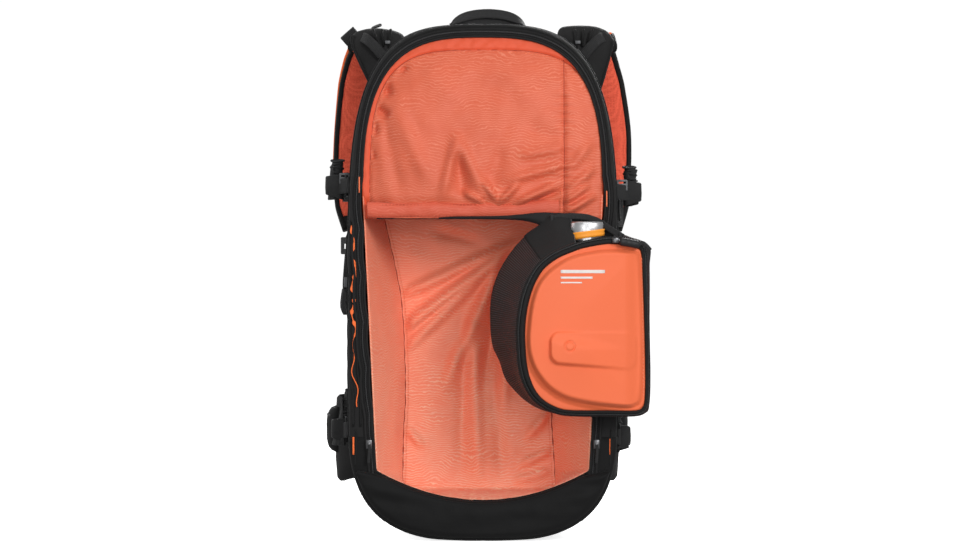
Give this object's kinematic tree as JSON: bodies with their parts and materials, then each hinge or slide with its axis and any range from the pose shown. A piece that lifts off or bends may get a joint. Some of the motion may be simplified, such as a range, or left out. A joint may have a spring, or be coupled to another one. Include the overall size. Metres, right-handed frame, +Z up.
{
  "type": "avalanche airbag backpack",
  "caption": "Ski backpack with a full-front zip standing open, printed lining, a folded airbag in its upper pouch, and a fan inflator in a zipped case hung in front.",
  "frame": {"origin": "middle of the flat patch of the boot that the pack stands on", "axes": "+Z up the pack, -Y out of the zipped front, +X to the right as seen from the front"},
  "size_m": [0.3705, 0.468, 0.6142],
  "materials": {
    "black_fabric": "matt woven polyamide",
    "black_mesh": "open spacer mesh",
    "printed_lining": "thin coated ripstop with a paler contour print",
    "airbag_fabric": "thin coated polyamide",
    "black_webbing": "ribbed webbing",
    "red_mesh": "spacer mesh",
    "black_plastic": "moulded, fine grain",
    "grey_plastic": "moulded",
    "orange_foam_shell": "thermoformed foam with a bonded face",
    "orange_plastic": "moulded",
    "aluminium": "satin",
    "blue_sleeve": "shrink sleeve"
  },
  "bodies": {
    "pack": {"body_shell": "black_fabric", "base_boot": "black_fabric", "main_lining": "printed_lining", "pouch_panel": "printed_lining", "pouch_hem": "printed_lining", "folded_airbag": "airbag_fabric", "main_zip_tape": "black_fabric", "frame_sheet": "black_plastic", "frame_stay": "aluminium", "haul_loop": "black_webbing", "back_pad_left": "black_fabric", "back_pad_right": "black_fabric", "lumbar_pad": "black_fabric", "strap_yoke_left": "black_fabric", "strap_yoke_right": "black_fabric", "shoulder_strap_left": "red_mesh", "shoulder_strap_right": "red_mesh", "strap_adjuster_left": "black_plastic", "strap_adjuster_right": "black_plastic", "strap_webbing_left": "black_webbing", "strap_webbing_right": "black_webbing", "trigger_cable": "black_plastic", "compression_strap_left": "black_webbing", "compression_strap_right": "black_webbing", "compression_buckle_left": "black_plastic", "compression_buckle_right": "black_plastic", "lower_strap_left": "black_webbing", "lower_strap_right": "black_webbing", "pod_sleeve": "black_fabric"},
    "front_panel": {"front_panel": "black_fabric"},
    "zip_slider_left": {"zip_slider_left": "black_plastic"},
    "zip_slider_right": {"zip_slider_right": "black_plastic"},
    "pod": {"pod_back_panel": "black_fabric", "pod_gusset": "black_mesh", "pod_handle": "black_webbing", "fan_housing": "black_plastic", "fan_motor": "aluminium", "outlet_duct": "aluminium", "supercapacitor_upper": "blue_sleeve", "supercapacitor_lower": "blue_sleeve", "control_box": "black_plastic", "battery_holder": "grey_plastic"},
    "pod_lid": {"pod_lid": "orange_foam_shell", "pod_lid_binding": "black_fabric"},
    "pod_zip_slider": {"pod_zip_slider": "black_plastic"},
    "impeller": {"impeller": "grey_plastic"},
    "power_button": {"power_button": "orange_plastic"},
    "hip_wing_left": {"hip_wing_left": "black_fabric", "hip_webbing_left": "black_webbing", "hip_buckle_left": "black_plastic"},
    "hip_wing_right": {"hip_wing_right": "black_fabric", "hip_webbing_right": "black_webbing", "hip_buckle_right": "black_plastic"},
    "sternum_strap": {"sternum_strap_left": "black_webbing", "sternum_strap_right": "black_webbing", "sternum_buckle": "black_plastic"},
    "sternum_clip": {"sternum_clip": "black_plastic"},
    "trigger_handle": {"trigger_handle": "orange_plastic"},
    "compression_clip_left": {"compression_clip_left": "black_plastic"},
    "compression_clip_right": {"compression_clip_right": "black_plastic"}
  },
  "joints": [
    {"name": "pod_swing", "type": "hinge", "parent": "pack", "child": "pod", "pos_m": [0, -0.1005, 0.374], "axis": [-1, 0, 0], "range_deg": [0, 50]},
    {"name": "pod_lid_opens", "type": "hinge", "parent": "pod", "child": "pod_lid", "pos_m": [0.1905, -0.1262, 0.24], "axis": [0, 0, 1], "range_deg": [0, 110]},
    {"name": "pod_zip_runs", "type": "slide", "parent": "pod_lid", "child": "pod_zip_slider", "axis": [-0.9344, -0.3036, 0.1863], "range_m": [0, 0.026]},
    {"name": "impeller_spin", "type": "hinge", "parent": "pod", "child": "impeller", "pos_m": [0.092, -0.128, 0.258], "axis": [0, -1, 0], "continuous": true},
    {"name": "power_button_press", "type": "slide", "parent": "pod", "child": "power_button", "axis": [0, 1, 0], "range_m": [0, 0.002], "stiffness_N_per_m": 400},
    {"name": "left_zip_runs", "type": "slide", "parent": "pack", "child": "zip_slider_left", "axis": [-0.0491, 0, 0.9988], "range_m": [0, 0.185]},
    {"name": "right_zip_runs", "type": "slide", "parent": "pack", "child": "zip_slider_right", "axis": [0.0491, 0, 0.9988], "range_m": [0, 0.185]},
    {"name": "front_panel_folds", "type": "hinge", "parent": "pack", "child": "front_panel", "pos_m": [0, -0.096, 0.084], "axis": [-1, 0, 0], "range_deg": [0, 35]},
    {"name": "left_hip_wing_swings", "type": "hinge", "parent": "pack", "child": "hip_wing_left", "pos_m": [-0.098, 0.0975, 0.118], "axis": [0, 0, -1], "range_deg": [-8, 30]},
    {"name": "right_hip_wing_swings", "type": "hinge", "parent": "pack", "child": "hip_wing_right", "pos_m": [0.098, 0.0975, 0.118], "axis": [0, 0, 1], "range_deg": [-8, 30]},
    {"name": "sternum_strap_height", "type": "slide", "parent": "pack", "child": "sternum_strap", "axis": [0, 0, 1], "range_m": [-0.02, 0.045]},
    {"name": "sternum_clip_releases", "type": "slide", "parent": "sternum_strap", "child": "sternum_clip", "axis": [1, 0, 0], "range_m": [0, 0.02], "deforming": ["sternum_strap_right"]},
    {"name": "trigger_pull", "type": "slide", "parent": "pack", "child": "trigger_handle", "axis": [0, 0, -1], "range_m": [0, 0.03], "stiffness_N_per_m": 900},
    {"name": "left_compression_clip_releases", "type": "slide", "parent": "pack", "child": "compression_clip_left", "axis": [0, -1, 0], "range_m": [0, 0.024], "deforming": ["compression_strap_left"]},
    {"name": "right_compression_clip_releases", "type": "slide", "parent": "pack", "child": "compression_clip_right", "axis": [0, -1, 0], "range_m": [0, 0.024], "deforming": ["compression_strap_right"]}
  ]
}
